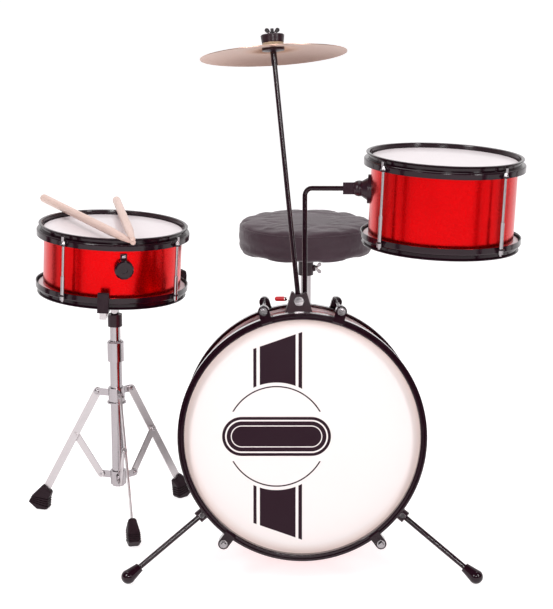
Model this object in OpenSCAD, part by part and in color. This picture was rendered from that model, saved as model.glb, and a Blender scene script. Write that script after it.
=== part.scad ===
// Junior acoustic drum kit: bass drum with pedal, tom, snare on a folding stand,
// one cymbal, a round throne and a pair of sticks.
// Millimetres. +Z is up and +Y points from the audience to the player.
// The origin is on the floor, under the middle of the whole kit.

/* [Bass drum] */
// Outside radius of the bass drum shell
bass_shell_r = 203; // [190:1:210]
// Wall thickness of the bass drum shell
bass_wall = 6; // [5:0.5:8]
// Depth of the bass drum over its two hoops
bass_depth = 261; // [250:1:280]
// How far the front of the bass drum is tipped up, in degrees
bass_tilt = 9.5; // [8:0.1:11]
// Where the rear hoop stands on the floor
bass_x = 69.65; // [60:0.05:80]
// Distance of the rear hoop's face from the kit's middle
bass_y = -219.37; // [-230:0.01:-210]
// Angle of the upper claws from the top of the drum
claw_top_angle = 17; // [15:0.5:22]
// Angle of the lower claws from the bottom of the drum
claw_low_angle = 36.5; // [32:0.5:40]
// Angle of the spurs from the bottom of the drum
spur_angle = 51; // [49:0.5:53]

/* [Cymbal and its rod] */
// Radius of the cymbal
cymbal_r = 130; // [120:1:140]
// Length of the rod from its holder to the cymbal
rod_length = 430; // [380:1:450]
// Sideways lean of the rod, in degrees
rod_lean = 5.8; // [4:0.1:7]
// Backward and sideways tilt of the cymbal, in degrees
cymbal_tilt = [-13.6, -3.6, 0];

/* [Small drums] */
// Outside radius of the tom and snare shells
drum_r = 127; // [127:1:127]
// Height of the tom over its two hoops
tom_height = 161.4; // [150:0.1:170]
// Height of the snare drum over its two hoops
snare_height = 130; // [122:1:138]
// Tilt of the tom, in degrees
tom_tilt = [-0.1, 2.3, 0];
// Tilt of the snare drum, in degrees
snare_tilt = [0.3, 2.8, 0];
// Middle of the snare drum's upper rim
snare_at = [-275.45, -165.77, 569.9];

/* [Tom arm] */
// Height of the arm's level leg above the bass drum's axis
arm_height = 427.5; // [420:0.5:440]
// Length of the level leg, from the upright leg to the tom's ball joint
arm_reach = 107.1; // [100:0.1:115]
// Direction of the level leg, in degrees forward of straight sideways
arm_swing = 28; // [24:1:32]

/* [Snare stand] */
// Middle of the stand on the floor
stand_at = [-276.75, -164.47, 0];
// Direction of the leg that points to the front
first_leg_angle = -76.4; // [-80:0.1:-70]
// Width of the flat leg strips
leg_width = 15; // [13:0.5:16]

/* [Throne] */
// Middle of the throne on the floor
throne_at = [87.75, 319.63, 0];
// Radius of the seat
seat_r = 142.5; // [138:0.5:150]
// Height of the seat's top above the floor
seat_top = 483; // [470:1:495]
// Thickness of the cushion
cushion_h = 60; // [55:1:66]

/* [Sticks] */
// Length of a drum stick
stick_length = 428; // [410:1:435]
// Radius of a drum stick
stick_r = 7.8; // [6.5:0.1:8]

/* [Hidden] */
$fn = 96;

// Running clearance between a rod and its bore
fit = 0.05;
// Length that makes a cut pass cleanly through a wall
cut = 1;

// Bass drum, measured in its own frame: x sideways, y up, z forward from the rear face
hoop_wall = 12;
hoop_r = bass_shell_r + hoop_wall;
hoop_width = 38;
head_depth = 15.5;
film = 0.5;
bass_z = hoop_r*cos(bass_tilt);
claw_rod_r = 228;
tension_rod_r = 3;
claw_plate = 5;
claw_width = 19;

// Rods that stand in the holder on the bass drum
rod_r = 4.4;
holder_x = -4.5;
holder_z = 131;
holder_top = 240;
holder_depth = 42;
cymbal_rod_at = [-6.5, holder_top, 138];
arm_at = [6, 0, 124];
arm_bend = 14;

// Spurs
spur_r = 4.75;
spur_z = 212;
spur_foot_r = 12.5;
spur_lean = 12;
spur_pivot_r = bass_shell_r + 10;
spur_length = (bass_z + spur_z*sin(bass_tilt) - spur_pivot_r*cos(spur_angle)*cos(bass_tilt) - spur_foot_r)
    /(cos(spur_lean)*cos(spur_angle)*cos(bass_tilt) - sin(spur_lean)*sin(bass_tilt));

// Cymbal, measured in its own frame: z = 0 is the plane of its edge
cymbal_sheet = 1.2;
bell_r = 46;
bell_rise = 9;
bow_rise = 10;
stud_r = 3;
stud_base = 6.5;
felt_top = 21.5;
cup_top = 36;
cup_r = 20;

// Small drums, measured in their own frame: z = 0 is the plane of the upper rim
drum_wall = 5;
rim_to_shell = 8.4;
lug_r = 145;
tom_lug_angle = 39.5;
snare_lug_angle = 57.5;
clamp_angle = 175.7;
clamp_drop = 67.9;
ball_ring_r = 146;
ball_r = 14;
strainer_angle = -76.5;
strainer_drop = 56;
knob_r = 17.5;

// Snare stand
leg_angles = [first_leg_angle, first_leg_angle + 120, first_leg_angle + 240];
tube_r = 11.5;
inner_tube_r = 9.9;
leg_pivot = [37.5, 246];
strut_pivot = [36, 80];
mid_pivot = [86, 156];
leg_foot = [158, 23];
strip = 3;
collar_screw_angle = 95;
collar_screw_z = 318;
strip_gap = 0.2;
rivet_r = 2.5;
tilter_z = 407;
sleeve_z = 375;
sleeve_top = 398;
basket_angles = [-91, 30, 128];
pad_width = 20;

// Throne
post_r = 11;
board_h = 8;
board_r = 100;
clamp_low = 366;
clamp_screw_z = 380;
throne_foot_ring = 190;
throne_foot_r = 14;

// Pedal
axle_at = [bass_x, bass_y + 63, 128];
beater_rest = 14;
beater_reach = 98;
heel_at = [bass_x, bass_y + 291, 16];
toe_y = bass_y + 61;

// Sticks
lower_tip = [-221.85, -365.87, 574.2];
lower_butt = [-425.85, 9.13, 586.6];
upper_tip = [-221.65, -392.37, 585.6];
upper_butt = [-287.25, 33.63, 578.6];

// Turns a point by a degrees about X and then by b degrees about Y
function turned(v, a, b) =
    let (p = [v.x, v.y*cos(a) - v.z*sin(a), v.y*sin(a) + v.z*cos(a)])
    [p.x*cos(b) + p.z*sin(b), p.y, p.z*cos(b) - p.x*sin(b)];

// Kit position of a point given in the bass drum's frame
function from_bass(p) = [bass_x, bass_y, bass_z] + turned(p, 90 - bass_tilt, 0);

// Points of an arc, for rounded outlines
function arc(c, r, from, to, steps = 5) =
    [for (i = [0:steps]) let (a = from + (to - from)*i/steps) c + r*[cos(a), sin(a)]];

ball_at = from_bass(arm_at + [arm_reach*cos(arm_swing), arm_height, arm_reach*sin(arm_swing)]);
tom_at = ball_at - turned([ball_ring_r*cos(clamp_angle), ball_ring_r*sin(clamp_angle), -clamp_drop],
    tom_tilt.x, tom_tilt.y);
stud_at = from_bass(cymbal_rod_at + rod_length*[-sin(rod_lean), cos(rod_lean), 0]);

// ---------- frames ----------

module in_bass() {
    translate([bass_x, bass_y, bass_z]) rotate([90 - bass_tilt, 0, 0]) children();
}

module in_cymbal() {
    translate(stud_at) rotate(cymbal_tilt) translate([0, 0, -stud_base]) children();
}

module in_tom() {
    translate(tom_at) rotate(tom_tilt) children();
}

module in_snare() {
    translate(snare_at) rotate(snare_tilt) children();
}

module in_stand() {
    translate(stand_at) children();
}

module in_throne() {
    translate(throne_at) children();
}

// Frame at the tom's ball joint, with x along the arm's level leg
module at_ball() {
    translate(ball_at) rotate([90 - bass_tilt, 0, 0]) rotate([0, -arm_swing, 0]) children();
}

// ---------- shared shapes ----------

module tube(r_out, r_in, h) {
    difference() {
        cylinder(r = r_out, h = h);
        translate([0, 0, -cut]) cylinder(r = r_in, h = h + 2*cut);
    }
}

// Hexagon nut or bolt head, standing on z = 0
module hexagon(across, h) {
    cylinder(r = across/2/cos(30), h = h, $fn = 6);
}

// Screw with two ears, its shank on -z and its ears above z = 0
module wing_screw(shank_r, shank, hub_r, span) {
    translate([0, 0, -shank]) cylinder(r = shank_r, h = shank + cut);
    cylinder(r1 = hub_r, r2 = hub_r*0.75, h = 6);
    for (side = [-1, 1])
        translate([0, 1.25, 0]) rotate([90, 0, 0]) linear_extrude(2.5)
            polygon(concat([[side*hub_r*0.4, 1], [side*hub_r*0.4, 5]],
                arc([side*(span/2 - 4), 9], 4, side > 0 ? 150 : 30, side > 0 ? -60 : 240)));
}

// Section of a flat strip in the x-z plane, from p to q with round ends and a pivot hole at p
module strip_outline(p, q, width, hole_r) {
    length = norm(q - p);
    translate(p) rotate(atan2(q.y - p.y, q.x - p.x)) difference() {
        union() {
            circle(r = width/2);
            translate([0, -width/2]) square([length, width]);
            translate([length, 0]) circle(r = width/2);
        }
        circle(r = hole_r);
    }
}

// Extrudes an outline of the x-z plane along y, from y0 to y1
module across_y(y0, y1) {
    translate([0, y1, 0]) rotate([90, 0, 0]) linear_extrude(y1 - y0) children();
}

// ---------- bass drum ----------

module bass_shell() {
    color("firebrick") in_bass() difference() {
        translate([0, 0, head_depth]) tube(bass_shell_r, bass_shell_r - bass_wall, bass_depth - 2*head_depth);
        for (hole = [cymbal_rod_at, arm_at])
            translate([hole.x + (hole.y > 0 ? 3.5 : 0), 180, hole.z]) rotate([-90, 0, 0]) cylinder(r = 7, h = 40);
        for (side = [-1, 1]) spur_axis(side) translate([0, 0, -40]) cylinder(r = spur_r + 1, h = 60);
    }
}

// Outline of a hoop, from its face at z = 0 back over the shell
module bass_hoop_outline() {
    inner = bass_shell_r + 0.5;
    groove = hoop_r - 5;
    polygon(concat(
        [[inner, -head_depth + 1], [inner, -2]],
        arc([inner + 2, -2], 2, 180, 90, 4),
        [[groove - 1.5, 0], [groove, -1.2], [groove + 0.8, 0]],
        arc([hoop_r - 2.5, -2.5], 2.5, 90, 0, 4),
        [[hoop_r, -hoop_width + 1], [hoop_r - 1, -hoop_width], [hoop_r - 3, -hoop_width],
         [hoop_r - 4, -hoop_width + 1], [hoop_r - 4, -head_depth + 1]]
    ));
}

module bass_hoop() {
    rotate_extrude() bass_hoop_outline();
}

module bass_hoops() {
    color("black") in_bass() {
        translate([0, 0, bass_depth]) bass_hoop();
        mirror([0, 0, 1]) bass_hoop();
    }
}

// Head stretched over the shell's end at z = 0, with its metal ring around the shell
module bass_head() {
    ring_in = bass_shell_r + 0.4;
    rotate_extrude() polygon([
        [0, 0], [bass_shell_r - 2, 0], [ring_in, 0], [ring_in, -8], [ring_in + 5, -8],
        [ring_in + 5, film], [ring_in + 1, film + 0.3], [bass_shell_r - 1, film], [0, film]
    ]);
}

module bass_front_head() {
    color("white") in_bass() translate([0, 0, bass_depth - head_depth]) bass_head();
}

module bass_batter_head() {
    color("white") in_bass() translate([0, 0, head_depth]) mirror([0, 0, 1]) bass_head();
}

// Claw over the front hoop at the top of the drum, with its hoop's face at z = 0
module claw() {
    intersection() {
        rotate([90, 0, 90]) translate([0, 0, -claw_width/2]) linear_extrude(claw_width) polygon([
            [hoop_r - 9.5, 0.15], [hoop_r - 9.5, claw_plate - 2], [hoop_r - 7, claw_plate],
            [claw_rod_r + 9.5, claw_plate], [claw_rod_r + 9.5, -27], [hoop_r + 3.5, -27],
            [hoop_r + 0.2, -19], [hoop_r + 0.2, 0.15]
        ]);
        difference() {
            translate([0, 0, -40]) union() {
                translate([0, claw_rod_r, 0]) cylinder(r = claw_width/2, h = 50);
                translate([-claw_width/2, hoop_r - 12, 0]) cube([claw_width, claw_rod_r - hoop_r + 12, 50]);
            }
            translate([0, claw_rod_r, -50]) cylinder(r = tension_rod_r + fit, h = 80);
        }
    }
}

module at_claws() {
    for (angle = [claw_top_angle, -claw_top_angle, 180 - claw_low_angle, 180 + claw_low_angle])
        rotate([0, 0, angle]) children();
}

module bass_claws() {
    color("dimgray") in_bass() at_claws() {
        translate([0, 0, bass_depth]) claw();
        mirror([0, 0, 1]) claw();
    }
}

module bass_tension_rods() {
    nut_h = 7;
    color("silver") in_bass() at_claws() translate([0, claw_rod_r, 0]) {
        translate([0, 0, -claw_plate - nut_h - 3]) cylinder(r = tension_rod_r, h = bass_depth + 2*claw_plate + nut_h + 5);
        translate([0, 0, bass_depth + claw_plate]) cylinder(r = 7, h = 2.5);
        translate([-3.5, -3.5, bass_depth + claw_plate + 2]) cube([7, 7, 9]);
        translate([0, 0, -claw_plate - nut_h]) hexagon(11, nut_h);
    }
}

// Frame of a spur bracket in the drum's frame: side is -1 or 1, z points away from the drum
module spur_side(side) {
    translate([0, 0, spur_z]) rotate([90, 0, side*spur_angle]) children();
}

// Frame of a spur in the drum's frame, with z along the spur and y to the front
module spur_axis(side) {
    spur_side(side) translate([0, 0, spur_pivot_r]) rotate([-spur_lean, 0, 0]) children();
}

module spur_brackets() {
    color("black") in_bass() for (side = [-1, 1]) difference() {
        union() {
            spur_side(side) translate([-13, -19, bass_shell_r - 6]) cube([26, 29, 15]);
            spur_axis(side) translate([0, 0, -10]) cylinder(r = 10.5, h = 31);
        }
        translate([0, 0, spur_z - 60]) cylinder(r = bass_shell_r, h = 120);
        spur_axis(side) translate([0, 0, -40]) cylinder(r = spur_r + fit, h = 80);
        spur_axis(side) translate([0, 9.9, 14.5]) rotate([-90, 0, 0]) cylinder(r = 5 + fit, h = 10);
    }
}

module spur(side) {
    color("black") in_bass() spur_axis(side) {
        translate([0, 0, -38]) cylinder(r = spur_r, h = spur_length + 30);
        translate([0, 0, spur_length - 26]) cylinder(r1 = 8, r2 = spur_foot_r - 0.4, h = 24);
        translate([0, 0, spur_length]) sphere(r = spur_foot_r);
    }
}

module spur_left() {
    spur(-1);
}

module spur_right() {
    spur(1);
}

// Hexagon bolts that close the holder and the two spur brackets
module clamp_bolts() {
    color("silver") {
        in_bass() translate([holder_x, holder_top - 12, holder_z + holder_depth/2]) {
            cylinder(r = 8.5, h = 1.4);
            translate([0, 0, 1]) rotate([0, 0, 30]) hexagon(13, 5.5);
        }
        for (side = [-1, 1]) in_bass() spur_axis(side) translate([0, 10.5, 14.5]) rotate([-90, 0, 0]) {
            translate([0, 0, -0.6]) cylinder(r = 5, h = 2);
            translate([0, 0, 1]) hexagon(9, 6);
        }
    }
}

// Cast block on top of the bass drum that holds the cymbal rod and the tom arm
module rod_holder() {
    rear = holder_z - holder_depth/2;
    color("black") in_bass() difference() {
        union() {
            translate([holder_x, 0, rear]) linear_extrude(holder_depth) polygon([
                [-26, bass_shell_r - 8], [26, bass_shell_r - 8], [24.5, bass_shell_r + 3],
                [15.5, holder_top - 2], [13.5, holder_top], [-13.5, holder_top],
                [-15.5, holder_top - 2], [-24.5, bass_shell_r + 3]
            ]);
            for (ear = [-11.5, 11.5])
                translate([holder_x + ear, holder_top, rear]) cylinder(r = 3.4, h = holder_depth);
        }
        translate([0, 0, rear - cut]) cylinder(r = bass_shell_r, h = holder_depth + 2*cut, $fn = 180);
        translate(cymbal_rod_at) rotate([0, 0, rod_lean]) rotate([90, 0, 0]) translate([0, 0, -20])
            cylinder(r = rod_r + fit, h = 80);
        translate([arm_at.x, 180, arm_at.z]) rotate([-90, 0, 0]) cylinder(r = rod_r + fit, h = 80);
        translate([holder_x - 30, holder_top - 9, holder_z]) rotate([0, 90, 0]) cylinder(r = 2.6 + fit, h = 24);
    }
}

// Thumb lever at the side of the holder, with a red grip
module holder_screw() {
    color("crimson") in_bass() translate([holder_x - 9, holder_top - 9, holder_z]) rotate([0, -90, 0]) {
        cylinder(r = 2.6, h = 14);
        translate([0, 0, 13]) cylinder(r1 = 3, r2 = 4.2, h = 3);
        translate([0, 0, 16]) cylinder(r = 4.2, h = 14);
        translate([0, 0, 30]) sphere(r = 4.2);
    }
}

// ---------- cymbal ----------

module cymbal_rod() {
    sleeve = 24;
    color("black") {
        in_bass() translate(cymbal_rod_at) rotate([0, 0, rod_lean]) rotate([-90, 0, 0]) {
            translate([0, 0, -75]) cylinder(r = rod_r, h = rod_length + 74);
            translate([0, 0, rod_length - sleeve - 1]) cylinder(r = 5.6, h = sleeve);
        }
        in_cymbal() {
            translate([0, 0, stud_base - 4]) cylinder(r = 5.6, h = 4);
            translate([0, 0, stud_base - 4]) cylinder(r = stud_r, h = cup_top + 15 - stud_base);
        }
    }
}

// Dished cups below and above the felts
module cymbal_cups() {
    bore = stud_r + fit;
    color("black") in_cymbal() rotate_extrude() {
        polygon([[bore, stud_base], [8, stud_base], [cup_r, stud_base + 1.5], [cup_r, stud_base + 7],
            [cup_r - 2, stud_base + 7], [cup_r - 3, stud_base + 5.5], [bore, stud_base + 5.5]]);
        polygon([[bore, felt_top + 0.1], [cup_r - 1, felt_top + 0.1], [cup_r - 0.5, felt_top + 1],
            [cup_r + 1, cup_top - 1.5], [cup_r, cup_top], [9, cup_top], [8, cup_top - 1], [bore, cup_top - 1]]);
    }
}

// Height of the cymbal's upper surface at radius r
function cymbal_z(r) =
    (r < bell_r ? bow_rise + bell_rise*(1 + cos(180*r/bell_r))/2
     : bow_rise*(1 - pow((r - bell_r)/(cymbal_r - bell_r), 1.5)));

module cymbal() {
    rings = [6, 10, 14, 18, 22, 26, 30, 34, 38, 42, 46, 56, 68, 80, 92, 104, 114, 122, cymbal_r];
    color("burlywood") in_cymbal() rotate_extrude() polygon(concat(
        [for (r = rings) [r, cymbal_z(r)]],
        [for (i = [len(rings) - 1:-1:0]) [rings[i], cymbal_z(rings[i]) - cymbal_sheet]]
    ));
}

module cymbal_felts() {
    bore = stud_r + 0.4;
    color("tan") in_cymbal() rotate_extrude() {
        translate([bore, stud_base + 5.6]) square([9.5 - bore, 4]);
        polygon(concat(
            [for (r = [7, 10, 13, 16, cup_r - 1]) [r, cymbal_z(r) + 0.4]],
            [[cup_r - 1, felt_top], [bore, felt_top], [bore, cymbal_z(7) + 0.4]]
        ));
    }
}

module cymbal_wing_nut() {
    color("silver") in_cymbal() translate([0, 0, cup_top - 0.9]) difference() {
        rotate([0, 0, 10]) wing_screw(0.5, 0.5, 7, 27);
        translate([0, 0, -cut]) cylinder(r = stud_r + fit, h = 20);
    }
}

// ---------- tom arm and clamp ----------

module tom_arm() {
    foot = bass_shell_r - 55;
    level = arm_reach - ball_r - arm_bend;
    color("black") in_bass() translate(arm_at) rotate([0, -arm_swing, 0]) {
        translate([0, foot, 0]) rotate([-90, 0, 0]) cylinder(r = rod_r, h = arm_height - arm_bend - foot);
        translate([arm_bend, arm_height - arm_bend, 0]) rotate([0, 0, 90]) rotate_extrude(angle = 90)
            translate([arm_bend, 0]) circle(r = rod_r, $fn = 48);
        translate([arm_bend, arm_height, 0]) rotate([0, 90, 0]) cylinder(r = rod_r, h = level);
    }
}

module tom_clamp() {
    flange_r = 25.5;
    color("black") difference() {
        union() {
            in_tom() translate([0, 0, -clamp_drop]) rotate([0, 90, clamp_angle]) {
                translate([0, 0, drum_r - 4]) cylinder(r = flange_r, h = 8.5);
                translate([0, 0, drum_r + 4]) cylinder(r1 = 20, r2 = ball_r - 3, h = ball_ring_r - drum_r - 4);
            }
            at_ball() {
                sphere(r = ball_r);
                translate([-27, -10.5, -10]) cube([21, 21, 20]);
            }
        }
        in_tom() translate([0, 0, -clamp_drop - 40]) cylinder(r = drum_r, h = 80);
        at_ball() translate([-60, 0, 0]) rotate([0, 90, 0]) cylinder(r = rod_r + fit, h = 48);
        at_ball() translate([-21, 0, -11]) cylinder(r = 2.5 + fit, h = 8);
    }
}

module tom_clamp_screw() {
    color("silver") at_ball() translate([-21, 0, -10.3]) rotate([180, 0, 0]) wing_screw(2.5, 5.3, 4.5, 22);
}

// ---------- tom and snare drum ----------

module drum_shell(height) {
    translate([0, 0, rim_to_shell - height]) tube(drum_r, drum_r - drum_wall, height - 2*rim_to_shell);
}

// Flanged hoop whose rim is at z = 0, with four eared holes for the tension rods
module drum_hoop(lug_angle) {
    difference() {
        union() {
            rotate_extrude() polygon(concat(
                [[133.2, 0], [136.4, 0]], arc([136.4, -1.2], 1.2, 60, -60, 3),
                [[133.6, -4], [133.2, -9.6], [137.6, -10]], arc([137.8, -13.2], 3.2, 80, 0, 4),
                [[140.8, -22], [138.9, -22], [138.9, -14], [137.9, -12.2], [131.2, -12], [131, -3.4]],
                arc([133.2, -2.2], 2.2, 180, 90, 3)
            ));
            for (i = [0:3]) rotate([0, 0, lug_angle + 90*i]) translate([0, 0, -20]) {
                translate([138.9, -6, 0]) cube([lug_r - 138.9, 12, 2.5]);
                translate([lug_r, 0, 0]) cylinder(r = 6, h = 2.5);
            }
        }
        for (i = [0:3]) rotate([0, 0, lug_angle + 90*i]) {
            translate([lug_r, 0, -30]) cylinder(r = 2.6, h = 20);
            translate([lug_r, 0, -17.5]) cylinder(r = 5, h = 10);
        }
    }
}

module drum_hoops(height, lug_angle) {
    drum_hoop(lug_angle);
    translate([0, 0, -height]) mirror([0, 0, 1]) drum_hoop(lug_angle);
}

module drum_head() {
    rotate_extrude() polygon([
        [0, -rim_to_shell], [drum_r + 0.3, -rim_to_shell], [drum_r + 0.3, -17], [135.5, -17],
        [135.5, -12.4], [drum_r + 1, -12.4], [drum_r + 1, -9], [drum_r, 0.4 - rim_to_shell],
        [0, 0.4 - rim_to_shell]
    ]);
}

module drum_heads(height) {
    drum_head();
    translate([0, 0, -height]) mirror([0, 0, 1]) drum_head();
}

// Key bolt, long tube nut and end nut of one tension rod
module tension_rod(height) {
    ear = 17.5;
    translate([0, 0, ear - height - 10]) cylinder(r = 2.5, h = height - 2*ear + 10);
    translate([0, 0, -ear]) cylinder(r = 4.9, h = 1.6);
    translate([0, 0, 1.5 - ear]) cylinder(r1 = 4.4, r2 = 3.2, h = 5);
    translate([-2.8, -2.8, 6 - ear]) cube([5.6, 5.6, 8]);
    translate([0, 0, ear + 2.6 - height]) cylinder(r = 3.7, h = (height - 2*ear)*0.36);
    translate([0, 0, ear - height - 7]) cylinder(r = 4.7, h = 6.9);
}

module tension_rods(height, lug_angle) {
    for (i = [0:3]) rotate([0, 0, lug_angle + 90*i]) translate([lug_r, 0, 0]) tension_rod(height);
}

module tom_shell() {
    color("firebrick") in_tom() drum_shell(tom_height);
}

module tom_hoops() {
    color("black") in_tom() drum_hoops(tom_height, tom_lug_angle);
}

module tom_heads() {
    color("white") in_tom() drum_heads(tom_height);
}

module tom_tension_rods() {
    color("silver") in_tom() tension_rods(tom_height, tom_lug_angle);
}

module snare_shell() {
    color("firebrick") in_snare() drum_shell(snare_height);
}

module snare_hoops() {
    color("black") in_snare() drum_hoops(snare_height, snare_lug_angle);
}

module snare_heads() {
    color("white") in_snare() drum_heads(snare_height);
}

module snare_tension_rods() {
    color("silver") in_snare() tension_rods(snare_height, snare_lug_angle);
}

// Frame on the outside of the snare shell, with z pointing away from the drum
module on_snare_side(angle, drop) {
    in_snare() translate([0, 0, -drop]) rotate([0, 90, angle]) translate([0, 0, drum_r]) children();
}

// Strainer plate at the front and the butt plate opposite
module snare_strainer() {
    color("black") difference() {
        union() {
            on_snare_side(strainer_angle, strainer_drop) {
                translate([-27, -6, -4]) cube([40, 12, 7]);
                cylinder(r = 13, h = 5);
                translate([-22, 0, 0]) cylinder(r = 3, h = 5);
            }
            on_snare_side(strainer_angle + 180, strainer_drop + 10) translate([-14, -9, -4]) cube([28, 18, 10]);
        }
        in_snare() translate([0, 0, -strainer_drop - 50]) cylinder(r = drum_r, h = 100);
        on_snare_side(strainer_angle, strainer_drop) cylinder(r = 3 + fit, h = 20);
    }
}

// Round tension knob with finger grooves
module strainer_knob() {
    color("black") on_snare_side(strainer_angle, strainer_drop) {
        translate([0, 0, 3]) cylinder(r = 3, h = 4);
        translate([0, 0, 5.3]) difference() {
            union() {
                cylinder(r1 = knob_r - 1, r2 = knob_r, h = 2);
                translate([0, 0, 2]) cylinder(r = knob_r, h = 6);
                translate([0, 0, 8]) cylinder(r1 = knob_r, r2 = knob_r - 3, h = 3);
            }
            for (i = [0:11]) rotate([0, 0, 30*i]) translate([knob_r + 1, 0, -cut]) cylinder(r = 2, h = 14);
            translate([0, 0, 9]) cylinder(r = 6, h = 4);
        }
    }
}

// Snare wires stretched under the lower head, between two end plates
module snare_wires() {
    half = 92;
    color("silver") in_snare() translate([0, 0, 7.2 - snare_height]) rotate([0, 0, strainer_angle]) {
        for (i = [-7:7]) translate([-half, 2.6*i, 0]) rotate([0, 90, 0]) cylinder(r = 0.6, h = 2*half, $fn = 16);
        for (side = [-1, 1]) translate([side*half - 5, -21, -0.9]) cube([10, 42, 1.5]);
    }
}

// ---------- snare stand ----------

// Ear that carries one rivet, beside the strip that turns on it
module hub_ear(pivot, inner_r, y0, y1) {
    across_y(y0, y1) strip_outline(pivot, [inner_r, pivot.y], 13, 0.01);
}

module stand_tube() {
    color("silver") in_stand() difference() {
        union() {
            translate([0, 0, 62]) cylinder(r = tube_r, h = 268);
            translate([0, 0, strut_pivot.y - 14]) cylinder(r = 15, h = 26);
            for (angle = leg_angles) rotate([0, 0, angle]) {
                hub_ear(strut_pivot, 12, -strip_gap - 2*strip - 0.2, -strip_gap - strip - 0.2);
                translate([strut_pivot.x, 0, strut_pivot.y]) rotate([90, 0, 0]) cylinder(r = rivet_r, h = 7);
            }
        }
        translate([0, 0, 70]) cylinder(r = inner_tube_r + fit, h = 300);
    }
}

module stand_hub() {
    color("silver") in_stand() difference() {
        union() {
            translate([0, 0, leg_pivot.y - 16]) cylinder(r = 15.5, h = 26);
            translate([0, 0, leg_pivot.y - 20]) cylinder(r = 18, h = 2.5);
            translate([0, 0, leg_pivot.y - 18]) cylinder(r = 14, h = 4);
            for (angle = leg_angles) rotate([0, 0, angle]) {
                hub_ear(leg_pivot, 12, strip_gap + strip + 0.2, strip_gap + 2*strip + 0.2);
                translate([leg_pivot.x, 7, leg_pivot.y]) rotate([90, 0, 0]) cylinder(r = rivet_r, h = 7);
            }
        }
        translate([0, 0, 200]) cylinder(r = tube_r + fit, h = 100);
    }
}

// One leg: a flat strip from the hub to its boot, with the middle rivet's head
module stand_leg(angle) {
    color("silver") in_stand() rotate([0, 0, angle]) {
        across_y(strip_gap, strip_gap + strip) strip_outline(leg_pivot, leg_foot, leg_width, rivet_r + fit);
        translate([mid_pivot.x, strip_gap + strip + 1.5, mid_pivot.y]) rotate([90, 0, 0]) cylinder(r = 4, h = 2);
    }
}

module stand_strut(angle) {
    color("silver") in_stand() rotate([0, 0, angle])
        across_y(-strip_gap - strip, -strip_gap) strip_outline(strut_pivot, mid_pivot, leg_width - 2, rivet_r + fit);
}

// Ribbed rubber boot on the end of a leg
module stand_boot(angle) {
    half = 11;
    lower = [[146, 0], [169, 0], [186, 14], [179, 22], [143, 20], [144, 4]];
    upper = [[143, 20], [137, 34], [154, 50], [179, 22]];
    middle = strip_gap + strip/2;
    color("black") in_stand() rotate([0, 0, angle]) difference() {
        union() {
            hull() {
                across_y(middle - half, middle + half) polygon(lower);
                across_y(middle - half/2, middle + half/2) polygon(upper);
            }
            for (i = [0:2]) across_y(middle - half - 0.7, middle + half + 0.7)
                translate([143.5, 5 + 6*i]) square([32 + 4*i, 2.4]);
        }
        across_y(strip_gap, strip_gap + strip) strip_outline(leg_pivot, leg_foot, leg_width, 0.01);
    }
}

module stand_leg_front() { stand_leg(leg_angles[0]); }
module stand_leg_right() { stand_leg(leg_angles[1]); }
module stand_leg_left() { stand_leg(leg_angles[2]); }
module stand_strut_front() { stand_strut(leg_angles[0]); }
module stand_strut_right() { stand_strut(leg_angles[1]); }
module stand_strut_left() { stand_strut(leg_angles[2]); }
module stand_boot_front() { stand_boot(leg_angles[0]); }
module stand_boot_right() { stand_boot(leg_angles[1]); }
module stand_boot_left() { stand_boot(leg_angles[2]); }

// Collar that closes the lower tube's end around the upper tube
module stand_collar() {
    color("silver") in_stand() difference() {
        union() {
            translate([0, 0, 308]) cylinder(r = 15.5, h = 36);
            translate([0, 0, 344]) cylinder(r1 = 15.5, r2 = 13, h = 3);
            rotate([0, 0, collar_screw_angle]) translate([10, 0, collar_screw_z]) rotate([0, 90, 0]) cylinder(r = 7, h = 12);
        }
        translate([0, 0, 300]) cylinder(r = tube_r, h = 30);
        translate([0, 0, 300]) cylinder(r = inner_tube_r + fit, h = 60);
        rotate([0, 0, collar_screw_angle]) translate([12.5, 0, collar_screw_z]) rotate([0, 90, 0])
            cylinder(r = 3 + fit, h = 20);
    }
}

module stand_collar_screw() {
    color("silver") in_stand() rotate([0, 0, collar_screw_angle]) translate([22.3, 0, collar_screw_z])
        rotate([0, 90, 0]) rotate([0, 0, 75]) wing_screw(3, 9.5, 6, 26);
}

module stand_upper_tube() {
    color("silver") in_stand() translate([0, 0, 205]) cylinder(r = inner_tube_r, h = sleeve_top - 10 - 205);
}

// Plate around the basket's pivot pin, between two faces across y, reaching to z
module pin_plate(y0, y1, z) {
    half = 7;
    across_y(y0, y1) {
        translate([0, tilter_z]) circle(r = half);
        translate([-half, min(z, tilter_z)]) square([2*half, abs(z - tilter_z)]);
    }
}

// Black sleeve on the upper tube, with the blade that holds the basket's pivot pin
module tilter_sleeve() {
    color("black") in_stand() difference() {
        union() {
            translate([0, 0, sleeve_z]) cylinder(r = 13.5, h = sleeve_top - sleeve_z);
            pin_plate(-4, 4, sleeve_top - 2);
        }
        translate([0, 0, sleeve_z - cut]) cylinder(r = inner_tube_r, h = sleeve_top - 10 - sleeve_z + cut);
        translate([0, 0, tilter_z]) rotate([90, 0, 0]) cylinder(r = 3 + fit, h = 40, center = true);
    }
}

// Three flat arms that rise at their ends, on a fork that turns on the pivot pin
module basket_arms() {
    below = -snare_height - 16;
    color("silver") {
        in_snare() {
            for (angle = basket_angles) rotate([0, 0, angle]) {
                translate([0, -6, below]) cube([147, 12, 4]);
                translate([143.5, -6, below]) cube([3.5, 12, 24]);
            }
            translate([0, 0, below - 3]) cylinder(r = 17, h = 10);
        }
        in_stand() {
            translate([0, 0, tilter_z]) rotate([90, 0, 0]) cylinder(r = 3, h = 20, center = true);
            for (y0 = [-8.3, 4.3]) pin_plate(y0, y0 + 4, snare_at.z - snare_height - 13);
        }
    }
}

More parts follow.
